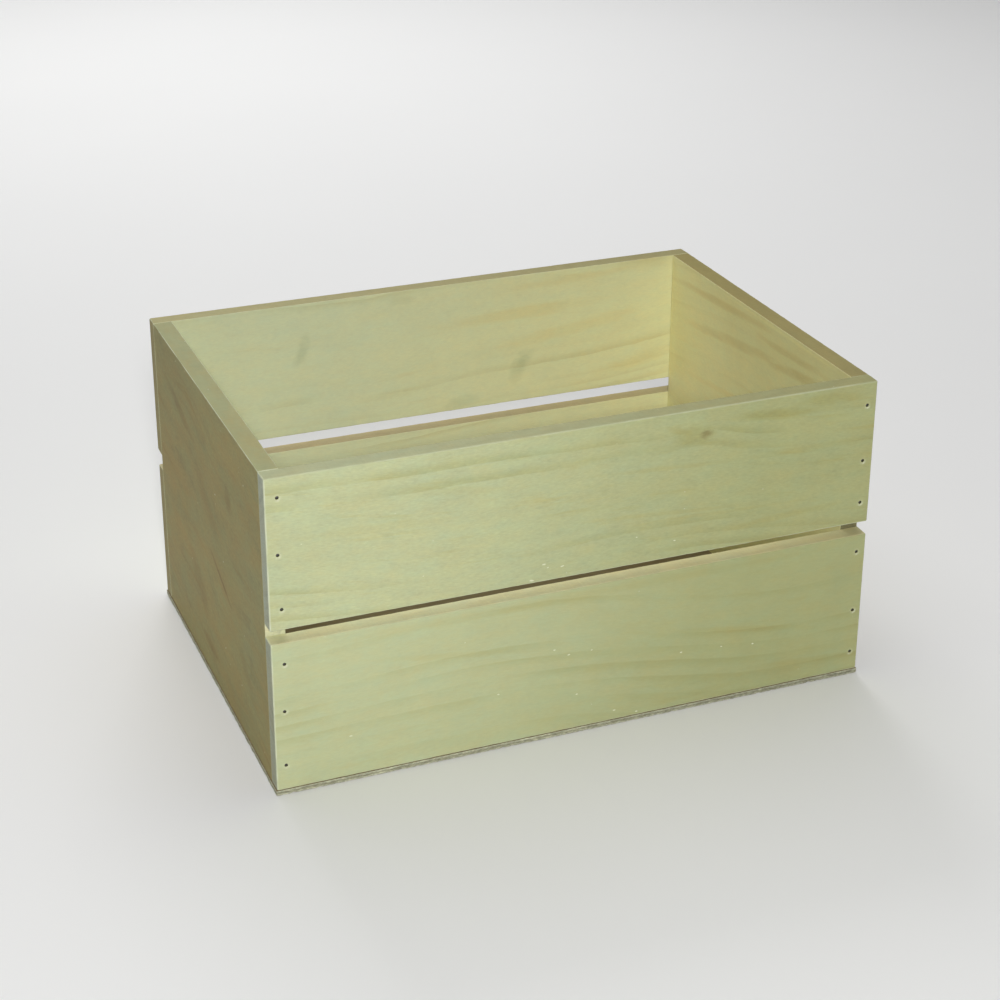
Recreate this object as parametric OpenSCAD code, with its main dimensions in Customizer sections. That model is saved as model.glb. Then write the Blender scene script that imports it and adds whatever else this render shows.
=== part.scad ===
// Open-top slatted apple crate, nailed together from seven boards.
// Millimetres. Length runs along X, width along Y and height along Z.
// The origin is the centre of the footprint, on the surface that the crate stands on.
// The face at -Y is the front, and the end at -X is the left end.

/* [Crate] */
// Outside length, over the outer faces of the two end panels
crate_length = 458; // [300:1:600]
// Outside width, over the outer faces of the side slats
crate_width = 319; // [200:1:450]
// Outside height, from the surface it stands on to the rim
crate_height = 241; // [210:1:360]

/* [Boards] */
// Thickness of the four side slats
slat_thickness = 13.5; // [10:0.5:20]
// Thickness of the two end panels
end_thickness = 14.5; // [12:0.5:25]
// Thickness of the thin panel nailed on underneath
bottom_thickness = 4; // [3:0.5:10]
// How far the bottom panel stands out past each end panel
bottom_overhang = 1; // [0:0.5:3]
// Height of the lower front slat
front_lower_height = 114.5; // [80:0.5:130]
// Height of the slot between the front slats
front_gap = 10; // [4:0.5:20]
// Height of the lower back slat
back_lower_height = 113; // [80:0.5:130]
// Height of the slot between the back slats
back_gap = 13; // [4:0.5:20]
// Bevel that stands for the sanded long edges of the slats
edge_bevel = 0.6; // [0.2:0.1:1.5]

/* [Slat nails] */
// Length of each finishing nail that holds a slat
slat_nail_length = 38; // [28:1:45]
// Shank diameter of the slat nails
slat_nail_diameter = 1.6; // [1.2:0.1:2]
// Head diameter of the slat nails
slat_nail_head = 2.4; // [2.1:0.1:3]
// Depth of the slat nail heads below the face of the slat
slat_nail_set = 1.5; // [0.5:0.1:2]

/* [Bottom nails] */
// Length of each brad that holds the bottom panel
brad_length = 22; // [16:1:28]
// Shank diameter of the brads
brad_diameter = 1.2; // [1:0.1:1.4]
// Head diameter of the brads
brad_head = 2; // [1.6:0.1:2.2]
// Depth of the brad heads below the underside of the bottom panel
brad_set = 0.6; // [0.3:0.1:1]
// Number of brads along the front and along the back
long_side_brads = 6; // [3:1:9]
// Number of brads across each end
short_side_brads = 4; // [2:1:6]

/* [Hidden] */
$fn = 32;

// Play between a nail and the wood it was driven through
nail_play = 0.02;
// Head height and point length, as shares of the nail's diameter
head_share = 0.8;
point_share = 1.6;
// Extra depth that keeps cuts clear of a face
overcut = 1;

// Outer faces
half_length = crate_length / 2;
half_width = crate_width / 2;
bottom_length = crate_length + 2 * bottom_overhang;

// The end panels fit between the front and back slats
panel_width = crate_width - 2 * slat_thickness;
panel_height = crate_height - bottom_thickness;

// Each upper slat fills what the lower slat and the slot leave, up to the rim
front_upper_z = bottom_thickness + front_lower_height + front_gap;
back_upper_z = bottom_thickness + back_lower_height + back_gap;
front_upper_height = crate_height - front_upper_z;
back_upper_height = crate_height - back_upper_z;

// Nail lines: the middle of an end panel's edge, and the middle of a slat's lower edge
nail_line_x = half_length - end_thickness / 2;
brad_line_y = half_width - slat_thickness / 2;
// Clear distance from each corner to the first brad of a row
brad_corner_gap = 52;

// Where each nail sits: how far down the slat it is, as a share of the slat's height,
// and how far the hand that drove it strayed outwards from the nail line, in millimetres
front_upper_left = [[0.13, -1.6], [0.5, -0.4], [0.86, -1.5]];
front_upper_right = [[0.16, -0.3], [0.55, -0.7], [0.85, -0.3]];
front_lower_left = [[0.14, -1.8], [0.46, -0.5], [0.83, 0.1]];
front_lower_right = [[0.12, -0.1], [0.55, 0.4], [0.86, 0.7]];
back_upper_left = [[0.14, -0.4], [0.52, 0.2], [0.86, -0.6]];
back_upper_right = [[0.15, 0.3], [0.49, -0.5], [0.87, -0.1]];
back_lower_left = [[0.13, 0.2], [0.51, -0.7], [0.85, -0.3]];
back_lower_right = [[0.15, -0.5], [0.48, 0.1], [0.86, -0.4]];

// Nails of one slat end as [x, z] places; end is -1 for the left and 1 for the right
function nail_places(pattern, end, slat_bottom, slat_height) = [
    for (spot = pattern)
        [end * (nail_line_x + spot[1]), slat_bottom + slat_height * (1 - spot[0])]
];

// Even rows of brads, as distances from the middle of the row
function brad_steps(span, count) = [
    for (i = [0 : count - 1])
        -span / 2 + span * i / (count - 1)
];

front_upper_places = [
    nail_places(front_upper_left, -1, front_upper_z, front_upper_height),
    nail_places(front_upper_right, 1, front_upper_z, front_upper_height)
];
front_lower_places = [
    nail_places(front_lower_left, -1, bottom_thickness, front_lower_height),
    nail_places(front_lower_right, 1, bottom_thickness, front_lower_height)
];
back_upper_places = [
    nail_places(back_upper_left, -1, back_upper_z, back_upper_height),
    nail_places(back_upper_right, 1, back_upper_z, back_upper_height)
];
back_lower_places = [
    nail_places(back_lower_left, -1, bottom_thickness, back_lower_height),
    nail_places(back_lower_right, 1, bottom_thickness, back_lower_height)
];
long_brad_steps = brad_steps(crate_length - 2 * brad_corner_gap, long_side_brads);
short_brad_steps = brad_steps(crate_width - 2 * brad_corner_gap, short_side_brads);

// A finishing nail along +Z: its shallow head starts at z = set, and its point is at the far end
module nail(nail_length, diameter, head, set) {
    head_height = head * head_share;
    point = diameter * point_share;
    rotate_extrude()
        polygon([
            [0, set],
            [head / 2, set],
            [head / 2, set + head_height / 2],
            [diameter / 2, set + head_height],
            [diameter / 2, set + nail_length - point],
            [0, set + nail_length]
        ]);
}

// The hole a nail leaves, open at the surface and ending just past the point
module nail_hole(nail_length, diameter, head, set) {
    head_height = head * head_share;
    translate([0, 0, -overcut])
        cylinder(h = overcut + set + head_height + nail_play, d = head + 2 * nail_play);
    cylinder(h = set + nail_length + nail_play, d = diameter + 2 * nail_play);
}

module slat_nail() {
    nail(slat_nail_length, slat_nail_diameter, slat_nail_head, slat_nail_set);
}

module slat_nail_hole() {
    nail_hole(slat_nail_length, slat_nail_diameter, slat_nail_head, slat_nail_set);
}

module brad() {
    nail(brad_length, brad_diameter, brad_head, brad_set);
}

module brad_hole() {
    nail_hole(brad_length, brad_diameter, brad_head, brad_set);
}

// Places its children at each [x, z] place, driven inwards from the front or the back face
module from_side(places, side) {
    for (place = places)
        translate([place[0], side * half_width, place[1]])
            rotate([side * 90, 0, 0])
                children();
}

// Places its children along the brad rows, driven upwards from the underside
module along_long_side(side) {
    for (step = long_brad_steps)
        translate([step, side * brad_line_y, 0])
            children();
}

module along_short_side(end) {
    for (step = short_brad_steps)
        translate([end * nail_line_x, step, 0])
            children();
}

// A board lying along X with its four long edges bevelled
module slat_board(height) {
    low = edge_bevel;
    rotate([90, 0, 90])
        linear_extrude(height = crate_length, center = true)
            polygon([
                [low, 0],
                [slat_thickness - low, 0],
                [slat_thickness, low],
                [slat_thickness, height - low],
                [slat_thickness - low, height],
                [low, height],
                [0, height - low],
                [0, low]
            ]);
}

// A side slat, with its nail holes; side is -1 for the front and 1 for the back
module side_slat(side, slat_bottom, slat_height, places, on_bottom) {
    near_y = side < 0 ? -half_width : half_width - slat_thickness;
    difference() {
        translate([0, near_y, slat_bottom])
            slat_board(slat_height);
        from_side([for (row = places) each row], side)
            slat_nail_hole();
        if (on_bottom)
            along_long_side(side)
                brad_hole();
    }
}

// An end panel, standing between the side slats; end is -1 for the left and 1 for the right
module end_panel(end) {
    near_x = end < 0 ? -half_length : half_length - end_thickness;
    row = end < 0 ? 0 : 1;
    difference() {
        translate([near_x, -panel_width / 2, bottom_thickness])
            cube([end_thickness, panel_width, panel_height]);
        from_side(concat(front_upper_places[row], front_lower_places[row]), -1)
            slat_nail_hole();
        from_side(concat(back_upper_places[row], back_lower_places[row]), 1)
            slat_nail_hole();
        along_short_side(end)
            brad_hole();
    }
}

module left_end_panel() {
    color([0.50, 0.47, 0.34])
        end_panel(-1);
}

module right_end_panel() {
    color([0.72, 0.69, 0.48])
        end_panel(1);
}

module front_upper_slat() {
    color([0.73, 0.76, 0.58])
        side_slat(-1, front_upper_z, front_upper_height, front_upper_places, false);
}

module front_lower_slat() {
    color([0.71, 0.73, 0.55])
        side_slat(-1, bottom_thickness, front_lower_height, front_lower_places, true);
}

module back_upper_slat() {
    color([0.73, 0.73, 0.57])
        side_slat(1, back_upper_z, back_upper_height, back_upper_places, false);
}

module back_lower_slat() {
    color([0.70, 0.69, 0.52])
        side_slat(1, bottom_thickness, back_lower_height, back_lower_places, true);
}

module bottom_panel() {
    color([0.66, 0.66, 0.56])
        difference() {
            translate([-bottom_length / 2, -half_width, 0])
                cube([bottom_length, crate_width, bottom_thickness]);
            for (side = [-1, 1])
                along_long_side(side)
                    brad_hole();
            for (end = [-1, 1])
                along_short_side(end)
                    brad_hole();
        }
}

// The three nails of one slat end
module slat_end_nails(places, side) {
    color([0.45, 0.45, 0.46])
        from_side(places, side)
            slat_nail();
}

module long_side_brad_row(side) {
    color([0.45, 0.45, 0.46])
        along_long_side(side)
            brad();
}

module short_side_brad_row(end) {
    color([0.45, 0.45, 0.46])
        along_short_side(end)
            brad();
}

left_end_panel();
right_end_panel();
front_upper_slat();
front_lower_slat();
back_upper_slat();
back_lower_slat();
bottom_panel();
slat_end_nails(front_upper_places[0], -1);  // front_upper_left_nails
slat_end_nails(front_upper_places[1], -1);  // front_upper_right_nails
slat_end_nails(front_lower_places[0], -1);  // front_lower_left_nails
slat_end_nails(front_lower_places[1], -1);  // front_lower_right_nails
slat_end_nails(back_upper_places[0], 1);  // back_upper_left_nails
slat_end_nails(back_upper_places[1], 1);  // back_upper_right_nails
slat_end_nails(back_lower_places[0], 1);  // back_lower_left_nails
slat_end_nails(back_lower_places[1], 1);  // back_lower_right_nails
long_side_brad_row(-1);  // bottom_front_brads
long_side_brad_row(1);  // bottom_back_brads
short_side_brad_row(-1);  // bottom_left_brads
short_side_brad_row(1);  // bottom_right_brads
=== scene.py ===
import math
import random

import bmesh
import bpy
from mathutils import Matrix, Vector, geometry, noise


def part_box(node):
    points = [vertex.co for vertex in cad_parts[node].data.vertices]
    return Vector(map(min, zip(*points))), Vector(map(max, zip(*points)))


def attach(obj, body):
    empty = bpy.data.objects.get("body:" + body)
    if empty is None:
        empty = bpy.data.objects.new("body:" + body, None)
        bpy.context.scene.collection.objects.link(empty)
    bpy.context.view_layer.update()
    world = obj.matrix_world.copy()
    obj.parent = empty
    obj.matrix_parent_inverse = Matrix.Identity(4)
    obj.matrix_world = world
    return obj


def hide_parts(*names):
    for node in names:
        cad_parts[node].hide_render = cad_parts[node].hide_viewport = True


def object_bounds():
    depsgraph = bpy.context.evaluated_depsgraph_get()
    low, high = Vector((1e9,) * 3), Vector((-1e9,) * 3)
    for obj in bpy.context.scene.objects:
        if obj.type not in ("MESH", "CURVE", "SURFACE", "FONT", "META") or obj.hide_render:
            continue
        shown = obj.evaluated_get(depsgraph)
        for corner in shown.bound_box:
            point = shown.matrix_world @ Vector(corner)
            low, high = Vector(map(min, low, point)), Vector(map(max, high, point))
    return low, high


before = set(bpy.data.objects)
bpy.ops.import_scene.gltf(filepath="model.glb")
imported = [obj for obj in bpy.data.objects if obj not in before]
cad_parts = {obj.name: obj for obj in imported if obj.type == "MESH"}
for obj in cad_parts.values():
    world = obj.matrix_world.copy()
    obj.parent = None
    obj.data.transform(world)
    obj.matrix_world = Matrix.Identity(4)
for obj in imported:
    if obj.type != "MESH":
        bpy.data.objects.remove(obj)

# Lengths in this script are millimetres along the board that is being made, until they
# are written to a mesh in metres. On every board, a runs along the grain, b across the
# board's face and c through its thickness. The camera, the lamps and the floor are in metres.

cad_low, cad_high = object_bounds()

MM = 0.001

# The axes of the crate that a, b and c lie along
SLAT_AXES = (0, 2, 1)
END_AXES = (1, 2, 0)
BOTTOM_AXES = (0, 1, 2)

# ---------------------------------------------------------------- camera, light and floor

CAMERA_PLACE = (-0.5471, -1.3619, 0.8162)
CAMERA_AZIMUTH = -21.88
CAMERA_ELEVATION = 23.35
CAMERA_ROLL = 0.12
CAMERA_LENS = 75.98
CAMERA_SHIFT_Y = -0.08

# Each lamp's name, azimuth, elevation, distance, side and power in watts
LAMPS = (
    ("key", -18, 27, 3.0, 0.3, 53),
    ("back", 175, 35, 3.0, 1.5, 28),
    ("overhead", 180, 72, 3.6, 5.0, 78),
)
SKY_STRENGTH = 0.06

# Half the floor's side and how far it lies below the crate, in metres, and the size of its
# clouds of tone, in millimetres
FLOOR_HALF = 9.0
FLOOR_DROP = 0.0002
FLOOR_CLOUD = 400.0
FLOOR_TONES = ((0.87, 0.87, 0.865), (0.89, 0.89, 0.885))


def aim(azimuth, elevation):
    """Unit vector from the object towards a viewer or a lamp."""
    a, e = math.radians(azimuth), math.radians(elevation)
    return Vector((math.sin(a) * math.cos(e), -math.cos(a) * math.cos(e), math.sin(e)))


def make_camera():
    data = bpy.data.cameras.new("camera")
    data.lens = CAMERA_LENS
    data.sensor_width = 36.0
    data.shift_y = CAMERA_SHIFT_Y
    data.clip_start, data.clip_end = 0.05, 50.0
    camera = bpy.data.objects.new("camera", data)
    bpy.context.scene.collection.objects.link(camera)
    camera.location = CAMERA_PLACE
    look = (-aim(CAMERA_AZIMUTH, CAMERA_ELEVATION)).to_track_quat("-Z", "Y").to_matrix()
    roll = Matrix.Rotation(math.radians(CAMERA_ROLL), 3, "Z")
    camera.rotation_mode = "QUATERNION"
    camera.rotation_quaternion = (look @ roll).to_quaternion()
    bpy.context.scene.camera = camera


def make_lamp(name, azimuth, elevation, distance, side, power):
    """A square studio lamp that faces the middle of the crate."""
    data = bpy.data.lights.new(name, "AREA")
    data.shape = "SQUARE"
    data.size = side
    data.energy = power
    lamp = bpy.data.objects.new(name, data)
    bpy.context.scene.collection.objects.link(lamp)
    direction = aim(azimuth, elevation)
    lamp.location = (cad_low + cad_high) / 2 + direction * distance
    lamp.rotation_mode = "QUATERNION"
    lamp.rotation_quaternion = direction.to_track_quat("Z", "Y")


def make_studio():
    for lamp in LAMPS:
        make_lamp(*lamp)
    world = bpy.data.worlds.new("studio")
    bpy.context.scene.world = world
    world.use_nodes = True
    sky = world.node_tree.nodes["Background"]
    sky.inputs["Color"].default_value = (1.0, 1.0, 1.0, 1.0)
    sky.inputs["Strength"].default_value = SKY_STRENGTH
    bpy.context.scene.view_settings.view_transform = "Standard"


def make_floor():
    """A plain pale floor, just under the surface that the crate stands on."""
    mesh = bpy.data.meshes.new("floor")
    corners = ((-1, -1), (1, -1), (1, 1), (-1, 1))
    points = [(x * FLOOR_HALF, y * FLOOR_HALF, -FLOOR_DROP) for x, y in corners]
    mesh.from_pydata(points, [], [(0, 1, 2, 3)])
    floor = bpy.data.objects.new("floor", mesh)
    bpy.context.scene.collection.objects.link(floor)
    g = Graph("floor_paper")
    cloud = g.noise(g.object_mm(), 1 / FLOOR_CLOUD)
    g.surface(g.blend(cloud, *FLOOR_TONES), 0.9)
    mesh.materials.append(g.material)


# ---------------------------------------------------------------- material graph


class Graph:
    """A short way to write a material's nodes."""

    def __init__(self, name):
        self.material = bpy.data.materials.new(name)
        self.material.use_nodes = True
        self.tree = self.material.node_tree
        self.tree.nodes.clear()

    def node(self, kind, inputs=(), **settings):
        made = self.tree.nodes.new(kind)
        for key, value in settings.items():
            setattr(made, key, value)
        for key, value in dict(inputs).items():
            if isinstance(value, bpy.types.NodeSocket):
                self.tree.links.new(value, made.inputs[key])
            elif value is not None:
                wide = isinstance(value, tuple) and len(made.inputs[key].default_value) == 4
                made.inputs[key].default_value = (*value, 1.0) if wide else value
        return made

    def math(self, operation, x, y=None, clamp=False):
        values = {0: x, 1: y}
        return self.node("ShaderNodeMath", values, operation=operation, use_clamp=clamp).outputs[0]

    def add(self, x, y):
        return self.math("ADD", x, y)

    def times(self, x, y):
        return self.math("MULTIPLY", x, y)

    def less(self, x, y):
        return self.math("SUBTRACT", x, y)

    def weigh(self, start, *pairs):
        """start, plus each value times its weight."""
        total = start
        for value, weight in pairs:
            total = self.add(total, self.times(value, weight))
        return total

    def step(self, x, low, high, out_low=0.0, out_high=1.0):
        """Smooth rise from out_low to out_high while x goes from low to high."""
        values = {0: x, 1: low, 2: high, 3: out_low, 4: out_high}
        made = self.node("ShaderNodeMapRange", values, interpolation_type="SMOOTHSTEP")
        return made.outputs[0]

    def between(self, x, low, high, blur):
        """1 while x is between low and high, with a smooth border."""
        return self.times(self.step(x, low, low + blur), self.step(x, high, high + blur, 1.0, 0.0))

    def vector(self, operation, inputs):
        return self.node("ShaderNodeVectorMath", inputs, operation=operation).outputs[0]

    def object_mm(self):
        place = self.node("ShaderNodeTexCoord").outputs["Object"]
        return self.vector("SCALE", {0: place, "Scale": 1 / MM})

    def parts(self, vector):
        return self.node("ShaderNodeSeparateXYZ", {0: vector}).outputs

    def join(self, x, y, z):
        return self.node("ShaderNodeCombineXYZ", {0: x, 1: y, 2: z}).outputs[0]

    def facing(self, axis):
        """How squarely the surface faces along an axis, either way."""
        normal = self.node("ShaderNodeNewGeometry").outputs["Normal"]
        return self.math("ABSOLUTE", self.parts(normal)[axis])

    def stretch(self, vector, lengths, seed):
        """vector over lengths, shifted so that each seed reads another part of a texture."""
        scale = tuple(1 / n for n in lengths)
        shift = (seed * 7.31, seed * 3.17, seed * 5.53)
        return self.vector("MULTIPLY_ADD", {0: vector, 1: scale, 2: shift})

    def noise(self, vector, scale=1.0, detail=2.0, rough=0.5):
        values = {"Vector": vector, "Scale": scale, "Detail": detail, "Roughness": rough}
        return self.node("ShaderNodeTexNoise", values).outputs[0]

    def swing(self, vector, lengths, seed, amount, detail=2.0, rough=0.5):
        """Noise that swings either side of zero, by about amount."""
        value = self.noise(self.stretch(vector, lengths, seed), 1.0, detail, rough)
        return self.times(self.less(value, 0.5), 2.0 * amount)

    def blend(self, factor, first, second, how="MIX"):
        inputs = {0: factor, 6: first, 7: second}
        made = self.node("ShaderNodeMix", inputs, data_type="RGBA", blend_type=how)
        return made.outputs[2]

    def tinted(self, colour, tint):
        return self.blend(1.0, colour, tint, "MULTIPLY")

    def scale_colour(self, colour, value):
        return self.vector("SCALE", {0: colour, "Scale": value})

    def mark(self, name):
        return self.node("ShaderNodeAttribute", attribute_name=name).outputs["Fac"]

    def surface(self, colour, roughness, height=None, bump=0.0, metallic=0.0, specular=0.5):
        values = {
            "Base Color": colour,
            "Roughness": roughness,
            "Metallic": metallic,
            "Specular IOR Level": specular,
        }
        shader = self.node("ShaderNodeBsdfPrincipled", values)
        if height is not None:
            values = {"Height": height, "Strength": 1.0, "Distance": bump * MM}
            relief = self.node("ShaderNodeBump", values)
            self.tree.links.new(relief.outputs[0], shader.inputs["Normal"])
        out = self.node("ShaderNodeOutputMaterial")
        self.tree.links.new(shader.outputs[0], out.inputs[0])


# ---------------------------------------------------------------- wood

# How long each feature of the wood is along a, b and c
FIBRE = (45, 0.9, 0.9)
PORE = (5, 0.35, 0.35)
SPECK = (3.6, 1.9, 1.9)
CLOUD = (120, 34, 34)
CURL = (26, 90, 60)
TAN_STREAK = (60, 5.5, 5.5)
FADING = (120, 30, 30)
SAW_MARK = (1.6, 9.0, 30.0)
END_TOOTH = (40.0, 1.1, 2.2)
ARRIS_PATCH = (40, 14, 14)
DUST_CELL = (9.0, 7.0, 7.0)

# How far growth rings wander, and over what lengths
WANDER_B = ((330, 110, 110), 13)
WANDER_C = ((240, 120, 120), 9)
RIPPLE = ((34, 8, 8), 1.1)

TAN_STREAK_TINT = (0.97, 0.90, 0.76)
GREENISH = (0.962, 1.018, 1.065)
TANNISH = (1.038, 0.983, 0.925)
KNOT_WOOD = (0.235, 0.21, 0.085)
# Pale arris tone: abrasion plus a painted highlight
WORN_AND_HIGHLIT_WOOD = (0.68, 0.72, 0.52)
DUST = (0.72, 0.72, 0.58)
TORN_WOOD = (0.76, 0.78, 0.58)
# Near-black on nail-hole walls: painted shade inside the holes
HOLE_SHADE = (0.060, 0.055, 0.022)


class Board:
    """What one board's wood is like.

    tones are its early and late wood where tone_axis is low, and far_tones where it is high.
    pith is where the heart of the tree lies, as b and c, and ring is the width of a year.
    flow is how its grain rises along a: (rise per mm, wave height, wave length, wave start).
    figure, streak and mottle are how strongly its rings, fibres and blotches show, drift is
    how far its colour goes between greenish and tan, and clump is how long a blotch is along
    and across the grain. Each patch is (a, b, half length, half width, turn in degrees, tint,
    strength) and each knot (a, b, size). The last argument is how pale the arrises are painted
    at the low and high a ends, and at the low and high b edges: partly abrasion and partly a
    painted highlight."""

    def __init__(self, name, axes, tones, far_tones, pith, seed, edge, end, tone_axis=0, ring=4.6,
                 flow=(0.0, 0.0, 300.0, 0.0), figure=1.0, streak=1.0, mottle=1.0, drift=0.9,
                 clump=(15.0, 6.5), patches=(), knots=(), wear_and_highlight=((0.5, 0.5), (0.3, 0.3))):
        self.name = name
        self.axes = axes
        self.tones = tones
        self.far_tones = far_tones
        self.pith = pith
        self.seed = seed
        self.edge = edge
        self.end = end
        self.tone_axis = tone_axis
        self.ring = ring
        self.flow = flow
        self.figure = figure
        self.streak = streak
        self.mottle = mottle
        self.drift = drift
        self.clump = clump
        self.patches = patches
        self.knots = knots
        self.wear_and_highlight = wear_and_highlight


class WoodGraph(Graph):
    """A board's material, with the places and the noises that the parts of its look share."""

    def __init__(self, board):
        super().__init__(board.name + "_wood")
        self.board = board
        self.low, self.high = cad_span(board.name, board.axes)
        place = self.parts(self.object_mm())
        self.a, self.b, self.c = (place[i] for i in board.axes)
        rise, height, length, start = board.flow
        turn = self.times(self.less(self.a, start), 2 * math.pi / length)
        climb = self.add(self.times(self.a, rise), self.times(self.math("SINE", turn), height))
        self.b_run = self.less(self.b, climb)
        self.flat = self.join(self.a, self.b, self.c)
        self.grain = self.join(self.a, self.b_run, self.c)

        seed = board.seed
        long, wide = board.clump
        self.fibre = self.swing(self.grain, FIBRE, seed + 3, board.streak, 4.0, 0.6)
        self.pores = self.swing(self.grain, PORE, seed + 4, board.streak)
        self.cloud = self.swing(self.grain, CLOUD, seed + 5, 1.0, 3.0, 0.55)
        self.mottle = self.swing(self.grain, (long, wide, wide), seed + 6, 1.0, 4.0, 0.72)
        self.rings = self.growth_rings()
        self.on_edge = self.step(self.facing(board.axes[1]), 0.55, 0.95)
        self.on_end = self.step(self.facing(board.axes[0]), 0.55, 0.95)
        self.saw = self.swing(self.flat, SAW_MARK, seed + 7, 1.0, 3.0, 0.65)
        self.tooth = self.swing(self.flat, END_TOOTH, seed + 8, 1.0, 3.0, 0.7)

    def squared_reach(self, a, b, mid_a, mid_b, half_length, half_width, turn=0.0):
        """0 in the middle of an ellipse on the board's face and 1 at its border."""
        along, across = self.less(a, mid_a), self.less(b, mid_b)
        cos, sin = math.cos(math.radians(turn)), math.sin(math.radians(turn))
        u = self.add(self.times(along, cos / half_length), self.times(across, sin / half_length))
        v = self.add(self.times(along, -sin / half_width), self.times(across, cos / half_width))
        return self.add(self.times(u, u), self.times(v, v))

    def growth_rings(self):
        """Late wood, 0 to 1, in rings that wander as the trunk did and bulge round each knot."""
        board, seed = self.board, self.board.seed
        wander_b = self.swing(self.grain, WANDER_B[0], seed, WANDER_B[1], 1.0)
        wander_c = self.swing(self.grain, WANDER_C[0], seed + 1, WANDER_C[1], 1.0)
        ripple = self.swing(self.grain, RIPPLE[0], seed + 2, RIPPLE[1], 4.0, 0.62)
        off_b = self.add(self.less(self.b_run, board.pith[0]), wander_b)
        off_c = self.add(self.less(self.c, board.pith[1]), wander_c)
        radius = self.math("SQRT", self.add(self.times(off_b, off_b), self.times(off_c, off_c)))
        radius = self.add(radius, ripple)
        for knot_a, knot_b, size in board.knots:
            near = self.squared_reach(self.a, self.b_run, knot_a, knot_b, size * 7.0, size * 4.0)
            radius = self.weigh(radius, (self.math("EXPONENT", self.times(near, -1.0)), size * 1.3))
        turns = self.math("DIVIDE", radius, board.ring)
        year = self.add(self.math("FLOOR", turns), seed * 13.0)
        luck = self.node("ShaderNodeTexWhiteNoise", {"W": year}, noise_dimensions="1D").outputs[0]
        strong = self.step(luck, 0.25, 1.0, 0.05, 1.0)
        fade = self.step(self.noise(self.stretch(self.grain, FADING, seed + 12)), 0.35, 0.62)
        phase = self.math("FRACT", turns)
        late = self.times(self.step(phase, 0.25, 0.93), self.step(phase, 0.93, 1.0, 1.0, 0.0))
        return self.times(self.times(late, strong), fade)

    def planed(self):
        """The board's faces: early and late wood, fibres, clouds of colour and blotches."""
        board, seed = self.board, self.board.seed
        low, high = self.low[board.tone_axis], self.high[board.tone_axis]
        reach = (high - low) * 0.12
        toned = self.weigh((self.a, self.b, self.c)[board.tone_axis], (self.cloud, reach))
        # Tones blend across tone_axis: on the end panels from a painted-shade outer face to a
        # painted-light inner face, and on the front slats darker towards high a as painted shade
        along = self.step(toned, low + reach, high - reach)
        early = self.blend(along, board.tones[0], board.far_tones[0])
        deep = self.blend(along, board.tones[1], board.far_tones[1])
        depth = self.weigh(
            self.times(self.rings, board.figure),
            (self.fibre, 0.16),
            (self.mottle, 0.4 * board.mottle),
        )
        colour = self.blend(self.math("ADD", depth, 0.12, clamp=True), early, deep)

        tan = self.noise(self.stretch(self.grain, TAN_STREAK, seed + 11), 1.0, 3.0, 0.6)
        tan = self.times(self.step(tan, 0.55, 0.78), 0.35 * board.mottle)
        colour = self.blend(tan, colour, self.tinted(colour, TAN_STREAK_TINT))
        light = self.weigh(
            1.0,
            (self.pores, 0.09 * board.mottle),
            (self.fibre, 0.03),
            (self.cloud, 0.04 * board.mottle),
            (self.mottle, 0.12 * board.mottle),
            (self.swing(self.flat, CURL, seed + 10, 1.0), 0.035),
            (self.swing(self.flat, SPECK, seed + 15, 1.0, 2.0, 0.6), 0.05 * board.mottle),
        )
        return self.scale_colour(colour, light)

    def stained(self, colour):
        """colour with the board's own patches and knots."""
        seed = self.board.seed
        for count, patch in enumerate(self.board.patches):
            mid_a, mid_b, half_length, half_width, turn, tint, strength = patch
            lengths = (max(7.0, half_length * 0.4), max(5.0, half_width * 0.8), 30.0)
            ragged = self.swing(self.flat, lengths, seed + 20 + count, 0.7)
            far = self.squared_reach(self.a, self.b, mid_a, mid_b, half_length, half_width, turn)
            mask = self.step(self.add(far, ragged), -0.2, 1.3, strength, 0.0)
            colour = self.blend(mask, colour, self.tinted(colour, tint))
        for knot_a, knot_b, size in self.board.knots:
            far = self.squared_reach(self.a, self.b, knot_a, knot_b, size * 1.4, size)
            ragged = self.swing(self.flat, (3, 1.2, 3), seed + 9, 0.6)
            mask = self.step(self.add(self.math("SQRT", far), ragged), 0.1, 1.35, 0.72, 0.0)
            colour = self.blend(mask, colour, KNOT_WOOD)
        return colour

    def sawn(self, colour):
        """colour on the faces, with sawn edges and end grain where the surface faces their way."""
        board = self.board
        # Edge tone runs along a; on the front slats its darkening is painted shade of the light's
        # falloff
        edge = self.blend(self.step(self.a, self.low[0], self.high[0]), *board.edge)
        rough = self.weigh(1.0, (self.saw, 0.06), (self.fibre, 0.08), (self.mottle, 0.16))
        colour = self.blend(self.on_edge, colour, self.scale_colour(edge, rough))
        rough = self.weigh(1.0, (self.tooth, 0.28), (self.rings, -0.15))
        return self.blend(self.on_end, colour, self.scale_colour(board.end, rough))

    def weathered(self, colour):
        """colour that drifts between greenish and tan."""
        long, wide = self.board.clump
        lengths = (long * 1.6, wide * 2.0, wide * 2.0)
        drift = self.swing(self.flat, lengths, self.board.seed + 14, self.board.drift, 4.0, 0.72)
        tint = self.blend(self.math("ADD", 0.5, drift, clamp=True), GREENISH, TANNISH)
        return self.tinted(colour, tint)

    def used(self, colour):
        """colour with pale arrises, partly abrasion and partly a painted highlight, sawdust in the
        grain, torn fibres, and nail holes painted near-black as the shade inside them.
        """
        seed = self.board.seed
        values = {"Vector": self.stretch(self.flat, DUST_CELL, seed), "Scale": 1.0}
        cells = self.node("ShaderNodeTexVoronoi", values)
        picked = self.step(self.parts(cells.outputs["Color"])[0], 0.88, 0.90)
        dust = self.times(self.step(cells.outputs["Distance"], 0.03, 0.08, 1.0, 0.0), picked)
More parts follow.
